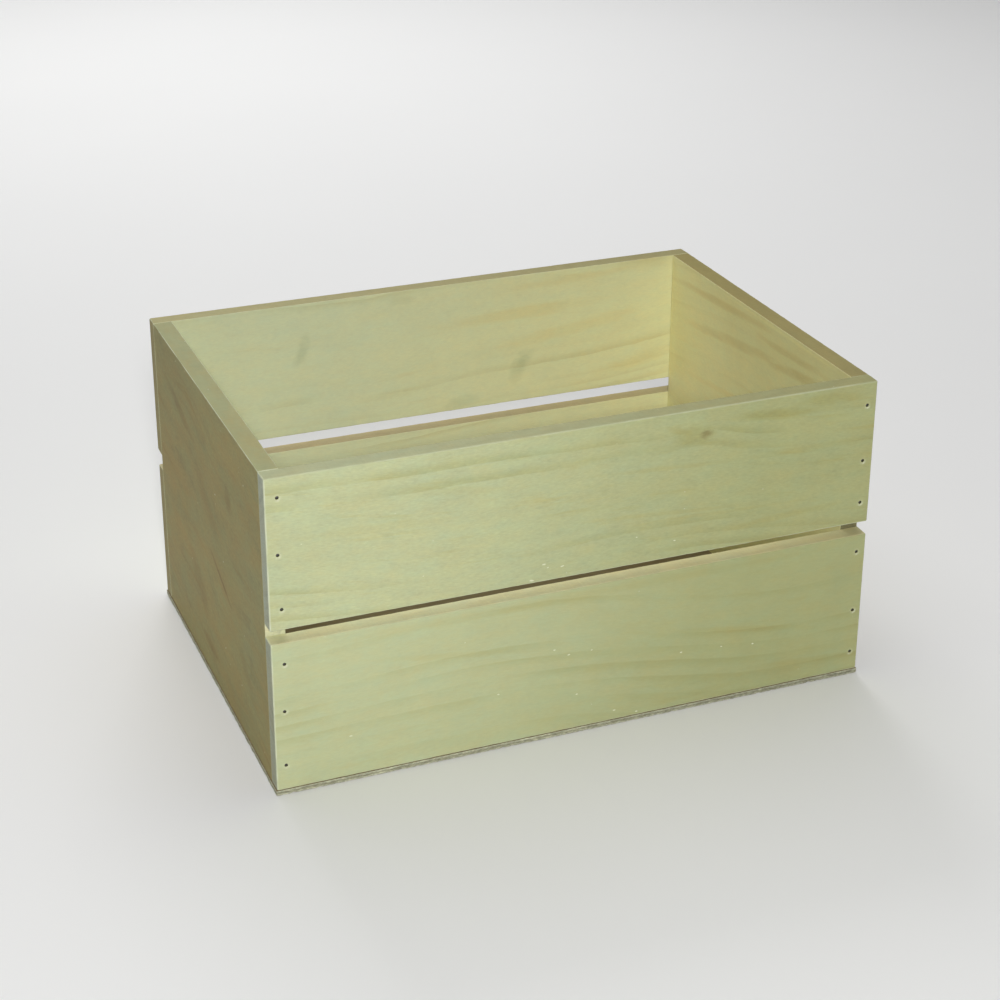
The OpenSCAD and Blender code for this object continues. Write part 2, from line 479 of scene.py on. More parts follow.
        # Arrises are painted pale: partly abrasion, partly a painted highlight along their rounded
        # edges
        arris_patchiness = self.noise(self.stretch(self.flat, ARRIS_PATCH, seed + 13), 1.0, 3.0, 0.6)
        worn_and_highlit = self.times(self.mark("arris"), self.step(arris_patchiness, 0.25, 0.7, 0.2, 0.9))
        colour = self.blend(worn_and_highlit, colour, WORN_AND_HIGHLIT_WOOD)
        colour = self.blend(self.times(dust, 0.5), colour, DUST)
        colour = self.blend(self.times(self.mark("torn"), 0.8), colour, TORN_WOOD)
        # Nail-hole walls are painted near-black: painted shade inside the holes
        return self.blend(self.times(self.mark("hole"), 0.85), colour, HOLE_SHADE)


def wood(board):
    """Flat-sawn pale softwood, as a solid that the board was cut from, so that the faces show
    long figure, the edges straight lines and the ends arcs."""
    g = WoodGraph(board)
    colour = g.used(g.weathered(g.sawn(g.stained(g.planed()))))
    relief = g.weigh(
        g.times(g.fibre, 0.30),
        (g.pores, 0.28),
        (g.mottle, 0.15),
        (g.rings, 0.25),
        (g.times(g.on_edge, g.saw), 1.2),
        (g.times(g.on_end, g.tooth), 1.6),
    )
    rough = g.weigh(0.60, (g.fibre, 0.06), (g.on_edge, 0.14))
    rough = g.math("ADD", rough, g.times(g.on_end, 0.2), clamp=True)
    g.surface(colour, rough, relief, bump=0.09, specular=0.35)
    return g.material


# The plywood's tones, as darker and lighter wood, and where its middle layer lies. Its face tones
# are darkened as painted shade on the floor inside the crate.
PLY_FACE_SHADED = ((0.30, 0.245, 0.145), (0.245, 0.19, 0.105))
PLY_SAWN = ((0.56, 0.565, 0.41), (0.385, 0.375, 0.25))
PLY_TORN = (0.52, 0.50, 0.38)
# Near-black on brad-hole walls: painted shade inside the holes
PLY_HOLE_SHADE = (0.05, 0.035, 0.016)
PLY_CORE = (0.9, 2.5)
# The span of x over which the plywood's sawn edges darken: painted shade of the light's falloff
PLY_EDGE_SHADE_SPAN = (-60.0, 230.0)


def plywood(node):
    """Thin plywood: a rotary-cut face, and on its edges a core whose grain runs the other way."""
    g = Graph(node + "_ply")
    place = g.object_mm()
    x, y, z = (g.parts(place)[i] for i in range(3))
    wave = g.swing(place, (150, 16, 16), 41, 1.0, 4.0, 0.6)
    fine = g.swing(place, (30, 0.8, 0.8), 42, 1.0, 3.0, 0.6)
    spread = g.add(y, g.swing(place, (170, 60, 60), 43, 60))
    curl = g.math("SINE", g.weigh(wave, (spread, 0.30)))
    # The face is darkened as painted shade on the crate's inside floor
    colour = g.blend(g.weigh(0.5, (curl, 0.32)), *PLY_FACE_SHADED)
    colour = g.scale_colour(colour, g.weigh(1.0, (fine, 0.10), (wave, 0.10)))

    layer = g.add(z, g.swing(place, (9.0, 9.0, 3.0), 45, 1.6, 3.0, 0.7))
    core = g.between(layer, *PLY_CORE, 0.6)
    crumbs = g.noise(g.stretch(place, (3.4, 3.4, 1.1), 44), 1.0, 3.0, 0.75)
    crumbs = g.step(crumbs, 0.34, 0.66, -1.0, 1.0)
    # Sawn edges darken towards high x: painted shade of the light's falloff
    edge_shade = g.step(x, *PLY_EDGE_SHADE_SPAN, 1.0, 0.78)
    sawn = g.scale_colour(g.blend(core, *PLY_SAWN), g.times(edge_shade, g.weigh(1.0, (crumbs, 0.30))))

    on_side = g.step(g.facing(2), 0.75, 0.45)
    colour = g.blend(on_side, colour, sawn)
    colour = g.blend(g.times(g.mark("torn"), 0.6), colour, PLY_TORN)
    # Brad-hole walls are painted near-black: painted shade inside the holes
    colour = g.blend(g.times(g.mark("hole"), 0.85), colour, PLY_HOLE_SHADE)
    height = g.weigh(g.times(fine, 0.5), (g.times(on_side, crumbs), 1.6))
    g.surface(colour, 0.75, height, bump=0.12, specular=0.3)
    return g.material


def nail_steel():
    """Dull wire-nail steel with a trace of brown tarnish."""
    g = Graph("nail_steel")
    place = g.object_mm()
    tarnish = g.noise(g.stretch(place, (0.9, 0.9, 0.9), 3), 1.0, 3.0, 0.6)
    tarnish = g.step(tarnish, 0.45, 0.65)
    drawn = g.swing(place, (0.25, 6.0, 0.25), 5, 1.0)
    colour = g.blend(tarnish, (0.20, 0.20, 0.205), (0.085, 0.065, 0.05))
    rough = g.math("ADD", g.weigh(0.48, (tarnish, 0.2)), g.times(drawn, 0.05), clamp=True)
    g.surface(colour, rough, drawn, bump=0.01, metallic=0.9)
    return g.material


# ---------------------------------------------------------------- board meshes

# A right-angled arris bent into an arc has its middle row this share of the radius along
HALF_TURN = 1.0 - math.tan(math.radians(22.5))

# Points round a nail hole: how many, and how far from its middle each ring of them is
RING_SIDES = 20
RING_REACH = (3.4, 2.5, 1.8)
CLEAR_OF_HOLE = 4.3
MOUTH_DEPTH = 0.3

# The torn lip's height, the share of it on each ring, and how many radians below high a it
# stands highest
LIP_HEIGHT = 0.20
LIP_SHARE = (0.0, 0.6, 1.0)
LIP_LEAN = 1.1

# Creases sharper than this many degrees stay sharp
SHARP_ANGLE = 50

CHIP_SIDES = 7
CHIP_HEIGHT = 0.16
CHIP_ROOT = 0.3
SPLINTER_STEPS = 6
SPLINTER_CORNERS = (0.0, 2.1, 4.2)


class Shell:
    """Points and faces of one board, in millimetres along a, b and c."""

    def __init__(self, low, high, out_side):
        self.low = low
        self.high = high
        self.out_side = out_side
        self.points = []
        self.faces = []
        self.found = {}
        self.lift = []
        self.fixed = []
        self.marks = {"torn": [], "hole": [], "arris": []}

    def outer_c(self):
        return self.high[2] if self.out_side > 0 else self.low[2]

    def point(self, a, b, c, lift=0.0, fixed=False, torn=0.0, hole=0.0):
        key = (round(a, 3), round(b, 3), round(c, 3))
        if key not in self.found:
            self.found[key] = len(self.points)
            self.points.append((a, b, c))
            self.lift.append(lift)
            self.fixed.append(fixed)
            self.marks["torn"].append(torn)
            self.marks["hole"].append(hole)
            self.marks["arris"].append(0.0)
        return self.found[key]

    def face(self, *corners):
        distinct = list(dict.fromkeys(corners))
        if len(distinct) > 2:
            self.faces.append(distinct)

    def band(self, first, second):
        """Faces between two rings that have as many points each."""
        for i in range(len(first)):
            j = (i + 1) % len(first)
            self.face(first[i], first[j], second[j], second[i])

    def fan(self, ring, middle):
        for i in range(len(ring)):
            self.face(ring[i], ring[(i + 1) % len(ring)], middle)


def rows_across(low, high, radii, step):
    """Rows across one side of a board: fine ones round each arris, even ones between."""
    near = sorted({0.0, *(r * k for r in radii for k in (HALF_TURN, 1.0))})
    start, stop = low + near[-1], high - near[-1]
    count = max(1, round((stop - start) / step))
    between = [start + (stop - start) * i / count for i in range(1, count)]
    return [low + n for n in near] + between + [high - n for n in reversed(near)]


def hole_lip(angle, share, seed):
    """How far the torn wood round a nail hole stands up, most of it below and towards high a."""
    sway = 0.5 * noise.noise(Vector((seed, 0.3, 0.7)))
    toward = math.cos(angle + LIP_LEAN + sway)
    ragged = noise.noise(Vector((math.cos(angle) * 2.0, math.sin(angle) * 2.0, seed)))
    height = LIP_HEIGHT * share * (0.7 + 0.6 * ragged)
    return height * (0.15 + 0.85 * max(0.0, toward) ** 2)


def hole_edge(angle, hole):
    """The hole's uneven radius, as a share of its even one."""
    spot = Vector((math.cos(angle), math.sin(angle), hole[0] + 3 * hole[1]))
    return 1.0 + 0.10 * noise.noise(spot)


def bore(shell, hole, mouth, spots, depth):
    """Walls and floor of a nail hole, from its mouth inwards."""
    c = shell.outer_c()
    inward = -shell.out_side
    ha, hb = hole
    upper = mouth
    for down in (MOUTH_DEPTH, depth):
        lower = [
            shell.point(
                ha + (spot.x - ha) * 0.98, hb + (spot.y - hb) * 0.98, c + inward * down,
                0.0, True, 0.0, 1.0,
            )
            for spot in spots
        ]
        shell.band(upper, lower)
        upper = lower
    shell.fan(upper, shell.point(ha, hb, c + inward * depth, 0.0, True, 0.0, 1.0))


def drilled_face(shell, rows_a, rows_b, fine, holes, hole_radius, hole_depth, lip):
    """Fills the flat middle of the outer face with triangles that run round its nail holes."""
    flat_a, flat_b = rows_a[fine:-fine], rows_b[fine:-fine]
    spots, lifts = [], []

    def put(a, b, lift=0.0):
        spots.append(Vector((a, b)))
        lifts.append(lift)
        return len(spots) - 1

    border = [put(a, flat_b[0]) for a in flat_a]
    border += [put(flat_a[-1], b) for b in flat_b[1:]]
    border += [put(a, flat_b[-1]) for a in reversed(flat_a[:-1])]
    border += [put(flat_a[0], b) for b in reversed(flat_b[1:-1])]
    for a in flat_a[1:-1]:
        for b in flat_b[1:-1]:
            if all(math.hypot(a - ha, b - hb) > CLEAR_OF_HOLE for ha, hb in holes):
                put(a, b)
    links = list(zip(border, border[1:] + border[:1]))
    mouths = []
    for ha, hb in holes:
        for turn, reach in enumerate((*RING_REACH, hole_radius)):
            at_mouth = turn == len(RING_REACH)
            share = 0.0 if at_mouth else LIP_SHARE[turn]
            ring = []
            for i in range(RING_SIDES):
                angle = 2 * math.pi * (i + 0.5 * (turn % 2)) / RING_SIDES
                far = reach * (hole_edge(angle, (ha, hb)) if at_mouth else 1.0)
                lift = hole_lip(angle, share, ha + hb) * lip
                ring.append(put(ha + far * math.cos(angle), hb + far * math.sin(angle), lift))
        links += list(zip(ring, ring[1:] + ring[:1]))
        mouths.append(ring)
    _, _, triangles, origin, _, _ = geometry.delaunay_2d_cdt(spots, links, [], 0, 1e-5)
    c = shell.outer_c()
    index = [
        shell.point(spot.x, spot.y, c, lift, False, min(1.0, lift * 6))
        for spot, lift in zip(spots, lifts)
    ]
    inside = [set(ring) for ring in mouths]
    for triangle in triangles:
        corners = [origin[v][0] for v in triangle]
        if not any(set(corners) <= ring for ring in inside):
            shell.face(*(index[i] for i in corners))
    for hole, ring in zip(holes, mouths):
        bore(shell, hole, [index[i] for i in ring], [spots[i] for i in ring], hole_depth)


def board_shell(low, high, out_side, radii, steps, holes=(), hole_radius=1.25, hole_depth=3.5,
                lip=1.0, extra_c=()):
    """A closed board with room to round its arrises and, on its outer face, nail holes."""
    shell = Shell(low, high, out_side)
    rows = [rows_across(low[i], high[i], radii, steps[i]) for i in range(3)]
    rows[2] = sorted({*rows[2], *extra_c})
    fine = 2 * len(set(radii))
    outer = shell.outer_c()
    for fixed, first, second in ((0, 1, 2), (1, 0, 2), (2, 0, 1)):
        for value in (low[fixed], high[fixed]):
            u, v = rows[first], rows[second]
            drilled = bool(holes) and fixed == 2 and value == outer
            for i in range(len(u) - 1):
                for j in range(len(v) - 1):
                    middle_u = fine <= i < len(u) - 1 - fine
                    middle_v = fine <= j < len(v) - 1 - fine
                    if drilled and middle_u and middle_v:
                        continue
                    corners = []
                    for p, q in ((i, j), (i + 1, j), (i + 1, j + 1), (i, j + 1)):
                        spot = [0.0, 0.0, 0.0]
                        spot[fixed], spot[first], spot[second] = value, u[p], v[q]
                        corners.append(shell.point(*spot))
                    shell.face(*corners)
    if holes:
        drilled_face(shell, rows[0], rows[1], fine, holes, hole_radius, hole_depth, lip)
    return shell


def rub(p, seed):
    """How much of an arris has been abraded away at p, from about -1 to 1."""
    slow = noise.noise(Vector((p[0] * 0.23, p[1] * 0.23, p[2] * 0.23 + seed)))
    return slow + 0.6 * noise.noise(Vector((p[0] * 0.9, p[1] * 0.9, seed - p[2] * 0.9)))


def rounded(shell, inner_radius, outer_radius, rub_depth, seed, wear_and_highlight=((0.0, 0.0), (0.0, 0.0))):
    """Every point of the shell with its arrises rounded and lightly abraded; each arris point is
    marked with how pale it is painted, partly for abrasion and partly as a painted highlight.
    """
    low, high = Vector(shell.low), Vector(shell.high)
    made = []
    for index, (place, lift, fixed) in enumerate(zip(shell.points, shell.lift, shell.fixed)):
        p = Vector(place)
        if not fixed:
            share = (p[2] - low[2]) / (high[2] - low[2])
            share = share if shell.out_side > 0 else 1.0 - share
            radius = inner_radius + (outer_radius - inner_radius) * share
            core = Vector(min(max(p[i], low[i] + radius), high[i] - radius) for i in range(3))
            away = p - core
            if away.length > 1e-6:
                p = core + away.normalized() * radius
                if sum(abs(n) > 1e-4 for n in away) > 1:
                    # Each arris point takes its edge's paleness: abrasion plus a painted highlight
                    sides = [wear_and_highlight[i][away[i] > 0] for i in (0, 1) if abs(away[i]) > 1e-4]
                    shell.marks["arris"][index] = max(sides)
                    p -= away.normalized() * rub_depth * max(0.0, rub(p, seed) + 0.25)
            p[2] += shell.out_side * lift
        made.append(p)
    return made


def write_mesh(name, shell, places, axes, material):
    """The shell as a smooth Blender mesh that rides on the crate's only body."""
    points = []
    for place in places:
        spot = [0.0, 0.0, 0.0]
        for i in range(3):
            spot[axes[i]] = place[i] * MM
        points.append(spot)
    mesh = bpy.data.meshes.new(name)
    mesh.from_pydata(points, [], shell.faces)
    work = bmesh.new()
    work.from_mesh(mesh)
    bmesh.ops.recalc_face_normals(work, faces=work.faces)
    work.to_mesh(mesh)
    work.free()
    for mark, values in shell.marks.items():
        mesh.attributes.new(mark, "FLOAT", "POINT").data.foreach_set("value", values)
    mesh.polygons.foreach_set("use_smooth", [True] * len(mesh.polygons))
    mesh.set_sharp_from_angle(angle=math.radians(SHARP_ANGLE))
    mesh.materials.append(material)
    piece = bpy.data.objects.new(name, mesh)
    bpy.context.scene.collection.objects.link(piece)
    even = piece.modifiers.new("even_shading", "WEIGHTED_NORMAL")
    even.keep_sharp = True
    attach(piece, "root")
    return piece


def add_chip(shell, a, b, length, width, turn, seed):
    """A fleck of torn fibre or sawdust on the outer face: a low ragged mound, closed below."""
    c = shell.outer_c()
    rng = random.Random(seed)
    rim = []
    for i in range(CHIP_SIDES):
        angle = 2 * math.pi * i / CHIP_SIDES
        reach = rng.uniform(0.7, 1.1)
        u, v = math.cos(angle) * length / 2 * reach, math.sin(angle) * width / 2 * reach
        x = u * math.cos(turn) - v * math.sin(turn)
        y = u * math.sin(turn) + v * math.cos(turn)
        rim.append(shell.point(a + x, b + y, c - shell.out_side * 0.02, 0.0, True, 1.0))
    lean_a = rng.uniform(-0.2, 0.2) * length
    lean_b = rng.uniform(-0.2, 0.2) * width
    top_c = c + shell.out_side * CHIP_HEIGHT
    root_c = c - shell.out_side * CHIP_ROOT
    shell.fan(rim, shell.point(a + lean_a, b + lean_b, top_c, 0.0, True, 1.0))
    shell.fan(rim[::-1], shell.point(a, b, root_c, 0.0, True, 1.0))


def add_chips(shell, chips, swirl, seed):
    """Chips that lie nearly along the grain. swirl sets how their small turns follow on."""
    for count, (a, b, length, width) in enumerate(chips):
        turn = 0.15 * math.sin(count * swirl)
        add_chip(shell, a, b, length, width, turn, seed * 100 + count)


def add_splinter(shell, root, way, length, width, curl, seed):
    """A curled fibre that tapers from its root to a point."""
    rng = random.Random(seed)
    way = Vector(way).normalized()
    side = way.orthogonal().normalized()
    up = way.cross(side)
    spot = Vector(root)
    previous = None
    for i in range(SPLINTER_STEPS + 1):
        share = i / SPLINTER_STEPS
        size = width * (1.0 - share) ** 0.7 / 2
        heading = (way + side * curl * share + up * rng.uniform(-0.2, 0.2)).normalized()
        if i < SPLINTER_STEPS:
            ring = []
            for k in SPLINTER_CORNERS:
                corner = spot + side * size * math.cos(k) + up * size * math.sin(k)
                ring.append(shell.point(*corner, 0.0, True, 0.8))
            if previous:
                shell.band(previous, ring)
            else:
                shell.face(*ring)
            previous = ring
        spot = spot + heading * length / SPLINTER_STEPS
    shell.fan(previous, shell.point(*spot, 0.0, True, 0.8))


def nail_spots(node, axes):
    """Where a CAD node's nails stand on the board's face, as (a, b), from its loose parts."""
    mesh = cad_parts[node].data
    group = list(range(len(mesh.vertices)))

    def head(i):
        while group[i] != i:
            group[i] = group[group[i]]
            i = group[i]
        return i

    near = {}
    for v in mesh.vertices:
        near.setdefault(tuple(round(x, 6) for x in v.co), []).append(v.index)
    for same in near.values():
        for i in same[1:]:
            group[head(i)] = head(same[0])
    for e in mesh.edges:
        group[head(e.vertices[0])] = head(e.vertices[1])
    parts = {}
    for v in mesh.vertices:
        parts.setdefault(head(v.index), []).append(v.co)
    spots = []
    for corners in parts.values():
        spans = [(min(p[k] for p in corners), max(p[k] for p in corners)) for k in axes[:2]]
        spots.append(tuple((low + high) / 2 / MM for low, high in spans))
    return sorted(spots)


# ---------------------------------------------------------------- slats and end panels

# How far a slat's outer face lies inside the CAD's, so that torn wood can stand up from it
FACE_INSET = 0.25

# How far the faces that meet other boards lie inside the CAD's, so that no two share a plane
JOINT_INSET = 0.05

# Distance between rows of points along a, b and c
BOARD_STEPS = (3.0, 9.0, 4.0)

# Radii of the inner and the outer arrises, and how deep abrasion goes into them
SLAT_ARRIS = (0.4, 1.15)
END_ARRIS = (0.4, 0.6)
SLAT_RUB = 0.16
END_RUB = 0.12


def cad_span(node, axes):
    """The node's lowest and highest corner in millimetres along a, b and c."""
    low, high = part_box(node)
    return [low[i] / MM for i in axes], [high[i] / MM for i in axes]


def make_slat(board, out_side, nail_nodes, chips=()):
    low, high = cad_span(board.name, board.axes)
    inset = (FACE_INSET, JOINT_INSET) if out_side < 0 else (JOINT_INSET, FACE_INSET)
    low = [low[0], low[1] + JOINT_INSET, low[2] + inset[0]]
    high = [high[0], high[1] - JOINT_INSET, high[2] - inset[1]]
    holes = [spot for node in nail_nodes for spot in nail_spots(node, board.axes)]
    shell = board_shell(low, high, out_side, SLAT_ARRIS, BOARD_STEPS, holes)
    add_chips(shell, chips, 2.3, board.seed)
    places = rounded(shell, *SLAT_ARRIS, SLAT_RUB, board.seed, board.wear_and_highlight)
    name = board.name + "_board"
    piece = write_mesh(name, shell, places, board.axes, wood(board))
    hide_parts(board.name)


def make_end(board, out_side, chips=()):
    low, high = cad_span(board.name, board.axes)
    low = [n + JOINT_INSET for n in low]
    high = [n - JOINT_INSET for n in high]
    shell = board_shell(low, high, out_side, END_ARRIS, BOARD_STEPS)
    add_chips(shell, chips, 1.7, board.seed)
    places = rounded(shell, *END_ARRIS, END_RUB, board.seed, board.wear_and_highlight)
    name = board.name + "_board"
    piece = write_mesh(name, shell, places, board.axes, wood(board))
    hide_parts(board.name)


FRONT_TONES = ((0.550, 0.585, 0.340), (0.475, 0.495, 0.255))
# Front slats towards high a: darker as painted shade of the light's falloff
FRONT_FAR_SHADED = ((0.400, 0.418, 0.200), (0.350, 0.348, 0.148))
# Back slats: lighter than the front slats as painted light on the crate's inside
BACK_LIT_TONES = ((0.725, 0.765, 0.500), (0.630, 0.640, 0.375))
BACK_FAR_LIT = ((0.785, 0.770, 0.435), (0.680, 0.625, 0.310))
# End panels: outer faces darkened as painted shade, inner faces lightened as painted light
END_OUTSIDE_SHADED = ((0.340, 0.292, 0.098), (0.262, 0.200, 0.058))
END_INSIDE_LIT = ((0.835, 0.790, 0.415), (0.720, 0.640, 0.290))
SLAT_END = (0.46, 0.49, 0.37)
BACK_SLAT_END = (0.36, 0.31, 0.145)
TAN = (0.97, 0.86, 0.68)
OLIVE = (0.90, 0.84, 0.68)
AMBER = (0.97, 0.85, 0.66)
GREY = (0.78, 0.82, 0.80)
BROWN = (0.84, 0.74, 0.60)
CRACK = (0.62, 0.52, 0.40)
RUDDY = (1.02, 0.94, 0.82)
BLUISH = (0.97, 1.04, 1.18)
PALE = (1.15, 1.15, 1.22)
PALE_RIM = (1.14, 1.13, 1.10)

# Both front slats' faces and edges darken towards high a: painted shade of the light's falloff
front_upper = Board(
    "front_upper_slat", SLAT_AXES, FRONT_TONES, FRONT_FAR_SHADED, (310.0, -60.0), 11,
    edge=((0.450, 0.465, 0.265), (0.345, 0.335, 0.152)), end=SLAT_END,
    ring=9.0, flow=(-0.045, 4.0, 330.0, -20.0),
    figure=1.0, mottle=1.9, drift=1.1, clump=(19.0, 8.0), wear_and_highlight=((1.0, 0.5), (0.7, 0.4)),
    patches=(
        (82, 222, 17, 8, 0, OLIVE, 0.75),
        (70, 227, 12, 3, -20, TAN, 0.6),
        (190, 233, 30, 5, -3, OLIVE, 0.7),
        (-150, 192, 60, 4, -3, TAN, 0.3),
        (-95, 210, 40, 4, -9, TAN, 0.35),
        (60, 200, 70, 2, -3, TAN, 0.35),
        (60, 165, 90, 2, -4, TAN, 0.35),
        (170, 197, 50, 3, 0, TAN, 0.35),
        (145, 228, 34, 5, -3, OLIVE, 0.8),
        (110, 158, 60, 2, -2, TAN, 0.4),
        (160, 146, 50, 3, 3, TAN, 0.45),
    ),
    knots=((92.0, 221.6, 3.6),),
)
front_lower = Board(
    "front_lower_slat", SLAT_AXES, FRONT_TONES, FRONT_FAR_SHADED, (-60.0, -85.0), 23,
    edge=((0.74, 0.72, 0.44), (0.64, 0.59, 0.32)), end=(0.42, 0.44, 0.32),
    ring=10.0, flow=(-0.06, 7.0, 380.0, -150.0),
    figure=0.65, mottle=0.85, drift=1.2, clump=(18.0, 7.5), wear_and_highlight=((1.0, 0.5), (0.8, 0.0)),
    patches=(
        (-100, 84, 70, 3, -8, TAN, 0.35),
        (130, 58, 70, 3, -10, TAN, 0.4),
        (190, 20, 60, 3, -4, TAN, 0.4),
        (90, 12, 60, 3, 4, TAN, 0.3),
        (0, 112, 200, 4, 0, TAN, 0.3),
    ),
)
back_upper = Board(
    "back_upper_slat", SLAT_AXES, BACK_LIT_TONES, BACK_FAR_LIT, (200.0, 240.0), 37,
    edge=((0.420, 0.380, 0.180), (0.340, 0.300, 0.130)), end=BACK_SLAT_END,
    flow=(0.06, 3.0, 260.0, 0.0), figure=0.7, mottle=0.95, drift=0.72,
    patches=(
        (-110, 203, 15, 5.5, 76, GREY, 0.5),
        (-114, 196, 9, 4.5, 60, GREY, 0.35),
        (75, 160, 17, 7.5, 68, GREY, 0.62),
        (82, 168, 10, 5.5, 40, GREY, 0.4),
        (23, 137, 17, 6, 5, GREY, 0.45),
        (-27, 232, 12, 4, 0, GREY, 0.35),
        (80, 208, 80, 6, 2, AMBER, 0.45),
        (120, 188, 70, 6, 7, AMBER, 0.4),
        (120, 232, 60, 4, 3, AMBER, 0.4),
        (180, 150, 40, 7, 10, AMBER, 0.5),
        (-37, 152, 34, 4, 3, AMBER, 0.3),
    ),
)
back_lower = Board(
    "back_lower_slat", SLAT_AXES, BACK_LIT_TONES, BACK_FAR_LIT, (30.0, 225.0), 53,
    edge=((0.56, 0.48, 0.26), (0.50, 0.42, 0.20)), end=BACK_SLAT_END,
    ring=5.0, flow=(0.02, 4.0, 300.0, 40.0), figure=0.7, mottle=0.95, drift=0.72,
)
left_end = Board(
    "left_end_panel", END_AXES, END_OUTSIDE_SHADED, END_INSIDE_LIT, (150.0, -310.0), 67, tone_axis=2,
    edge=((0.375, 0.363, 0.172), (0.370, 0.358, 0.172)), end=(0.72, 0.69, 0.44),
    ring=6.0, flow=(0.12, 4.0, 150.0, 0.0),
    figure=0.25, streak=0.35, mottle=3.8, drift=3.1, clump=(46.0, 18.0),
    wear_and_highlight=((0.3, 0.3), (0.2, 0.9)),
    patches=(
        (-28, 106, 36, 2.2, 22, CRACK, 0.85),
        (16, 28, 30, 5, 5, BROWN, 0.9),
        (70, 198, 46, 6, 16, BROWN, 0.8),
        (-62, 183, 12, 9, 70, BROWN, 0.8),
        (100, 120, 50, 60, 0, RUDDY, 0.8),
        (-110, 110, 40, 90, 0, BLUISH, 0.7),
        (40, 70, 34, 14, 35, BROWN, 0.6),
        (-90, 60, 24, 8, 40, BROWN, 0.5),
        (0, 150, 40, 12, 30, BROWN, 0.45),
    ),
)
right_end = Board(
    "right_end_panel", END_AXES, END_INSIDE_LIT, END_OUTSIDE_SHADED, (120.0, 300.0), 79, tone_axis=2,
    edge=((0.320, 0.275, 0.104), (0.310, 0.255, 0.082)), end=(0.21, 0.195, 0.100),
    ring=5.6, flow=(-0.10, 3.0, 200.0, 0.0),
    figure=0.4, mottle=0.85, drift=0.8, clump=(28.0, 11.0), wear_and_highlight=((0.3, 0.3), (0.2, 0.1)),
    patches=(
        (55, 228, 95, 4.0, -4, BROWN, 0.6),
        (-60, 225, 70, 3.6, -2, BROWN, 0.5),
        (35, 203, 85, 5.0, -7, BROWN, 0.5),
        (-70, 213, 45, 4.5, -8, BROWN, 0.65),
        (-40, 238, 100, 1.8, 0, PALE_RIM, 0.6),
        (0, 160, 120, 4, -6, AMBER, 0.4),
        (30, 110, 110, 4, -5, AMBER, 0.4),
        (150, 190, 150, 170, 0, PALE, 1.0),
    ),
)

# Flecks of torn fibre on the outer faces: a, b, length and width
FRONT_UPPER_CHIPS = (
    (-31, 142, 3.2, 1.5), (-17, 138, 3.8, 1.4), (-40, 131, 4.3, 1.8), (70, 142, 2.3, 1.2),
    (-28, 139, 2.0, 1.1), (-205, 190, 1.7, 0.9), (40, 150, 1.7, 0.9), (-120, 150, 1.6, 0.9),
)
FRONT_LOWER_CHIPS = (
    (-22, 72, 2.6, 1.5), (-11, 66, 2.8, 1.4), (-65, 45, 2.5, 1.4), (-4, 32, 2.5, 1.4),
    (26, 12, 2.9, 1.5), (44, 7, 2.9, 1.4), (79, 49, 2.6, 1.4), (138, 44, 2.3, 1.4),
    (-175, 36, 2.8, 1.5), (7, 66, 1.7, 1.1), (112, 47, 2.0, 1.1), (-90, 92, 1.6, 0.9),
)
LEFT_CHIPS = (
    (-25, 171, 2.6, 1.4), (-107, 214, 2.2, 1.2), (-39, 124, 1.8, 1.4), (-32, 50, 2.4, 1.2),
    (-75, 42, 1.8, 1.0), (76, 236, 1.6, 0.9), (30, 140, 1.4, 0.9), (-90, 90, 1.3, 0.9),
    (-130, 18, 1.6, 1.1), (60, 80, 1.5, 0.9),
)

# ---------------------------------------------------------------- bottom panel

# How far the panel's edges lie inside the CAD's along x and y, before they tear
BOTTOM_INSET = (0.35, 0.15)

# Radii of its upper and lower arrises, the radius that its rows of points are laid out for,
# and the distance between rows along x, y and z
BOTTOM_ARRIS = (0.2, 0.3)
BOTTOM_ROUNDING = (0.25,)
BOTTOM_STEPS = (2.4, 4.8, 4.0)
BOTTOM_SEED = 5

BRAD_HOLE_RADIUS = 1.05
BRAD_HOLE_DEPTH = 2.4

# Heights of the extra rows of points that the layers of the plywood tear along
LAYER_ROWS = (1.2, 1.35, 2.65, 2.8)

# How far from an edge tearing reaches, and how high the lowest and the middle layer tear
TEAR_REACH = 0.6
LOW_LAYER = 0.8
MIDDLE_LAYER = 2.7

# Loose curls at the left end: y, length and curl
CURLS = (
    (121, 3.4, 0.9), (108, 1.8, -0.5), (40, 1.6, 0.6), (-46, 4.2, -0.8),
    (-62, 1.6, 0.7), (-86, 2.8, 0.5), (-98, 2.2, -0.7),
)
CURL_WIDTH = 0.5
CURL_SEED = 300

FUZZ_COUNT = 46
FUZZ_WIDTH = 0.32
FUZZ_SEED = 400
FUZZ_PLACES_SEED = 8


def tear(p, axis, low, high):
    """Moves one point of the panel's sawn edge inwards, most of all in the lowest layer."""
    at_low, at_high = p[axis] < low[axis] + TEAR_REACH, p[axis] > high[axis] - TEAR_REACH
    if not (at_low or at_high):
        return
    deep = 0.9 if p[2] < LOW_LAYER else 0.45 if p[2] < MIDDLE_LAYER else 0.2
    run = p[1 - axis]
    torn = noise.noise(Vector((run * 0.32, p[2] * 0.9, axis * 9.0 + at_high * 5.0)))
    torn += 0.7 * noise.noise(Vector((run * 1.1, p[2] * 1.7, axis * 3.0 - at_high * 5.0)))
    bite = deep * max(0.0, torn + 0.15)
    p[axis] += bite if at_low else -bite
    if p[2] < LOW_LAYER:
        p[2] += 0.35 * max(0.0, torn)


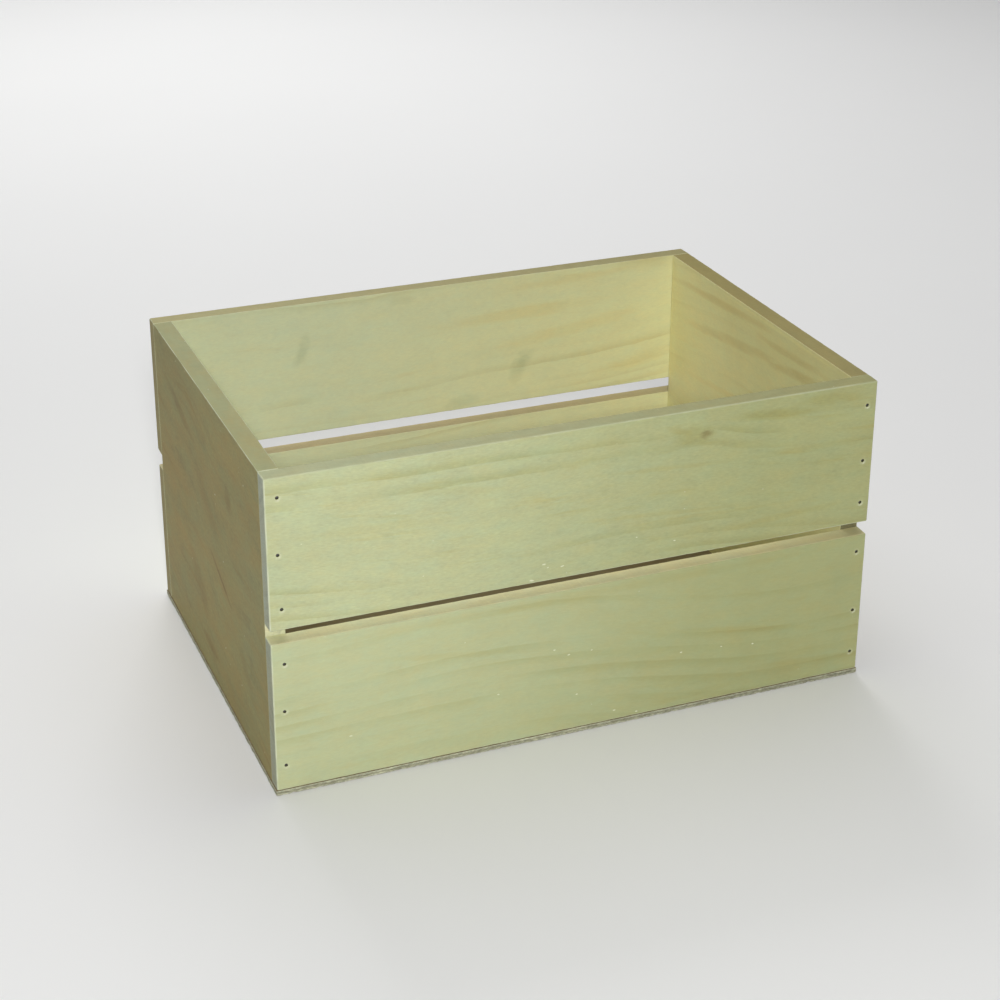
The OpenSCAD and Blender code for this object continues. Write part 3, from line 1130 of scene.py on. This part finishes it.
def fray(shell, low, high):
    """Loose curls at the left end of the panel, and short fuzz along its front."""
    for count, (y, length, curl) in enumerate(CURLS):
        way = (-0.35, 0.9 if count % 2 else -0.9, 0.1)
        root = (low[0] + 0.5, y, 0.9)
        add_splinter(shell, root, way, length, CURL_WIDTH, curl, CURL_SEED + count)
    rng = random.Random(FUZZ_PLACES_SEED)
    for count in range(FUZZ_COUNT):
        x = rng.uniform(low[0] + 4, high[0] - 4)
        z = rng.uniform(0.5, 1.4)
        way = (rng.choice((-1, 1)), -0.16, 0.0)
        length = rng.uniform(0.9, 2.4)
        curl = rng.uniform(-0.2, 0.2)
        root = (x, low[1] + 0.35, z)
        add_splinter(shell, root, way, length, FUZZ_WIDTH, curl, FUZZ_SEED + count)


def make_bottom(node):
    low, high = cad_span(node, BOTTOM_AXES)
    low = [low[0] + BOTTOM_INSET[0], low[1] + BOTTOM_INSET[1], low[2]]
    high = [high[0] - BOTTOM_INSET[0], high[1] - BOTTOM_INSET[1], high[2] - JOINT_INSET]
    rows = [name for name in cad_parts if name.endswith("_brads")]
    holes = [spot for row in rows for spot in nail_spots(row, BOTTOM_AXES)]
    shell = board_shell(
        low, high, -1, BOTTOM_ROUNDING, BOTTOM_STEPS, holes, BRAD_HOLE_RADIUS,
        BRAD_HOLE_DEPTH, lip=0.0, extra_c=LAYER_ROWS,
    )
    places = rounded(shell, *BOTTOM_ARRIS, 0.0, BOTTOM_SEED)
    for p, fixed in zip(places, shell.fixed):
        if not fixed:
            tear(p, 0, low, high)
            tear(p, 1, low, high)
    fray(shell, low, high)
    corner = (cad_low[0] / MM, cad_low[1] / MM, 0.0)
    for p in shell.points[len(places):]:
        places.append(Vector(max(p[i], corner[i]) for i in range(3)))
    piece = write_mesh(node + "_sheet", shell, places, BOTTOM_AXES, plywood(node))
    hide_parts(node)


# ---------------------------------------------------------------- the crate

make_camera()
make_studio()
make_floor()
make_slat(front_upper, -1, ("front_upper_left_nails", "front_upper_right_nails"), FRONT_UPPER_CHIPS)
make_slat(front_lower, -1, ("front_lower_left_nails", "front_lower_right_nails"), FRONT_LOWER_CHIPS)
make_slat(back_upper, 1, ("back_upper_left_nails", "back_upper_right_nails"))
make_slat(back_lower, 1, ("back_lower_left_nails", "back_lower_right_nails"))
make_end(left_end, -1, LEFT_CHIPS)
make_end(right_end, 1)
make_bottom("bottom_panel")

steel = nail_steel()
for name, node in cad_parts.items():
    if name.endswith(("_nails", "_brads")):
        node.data.materials.clear()
        node.data.materials.append(steel)
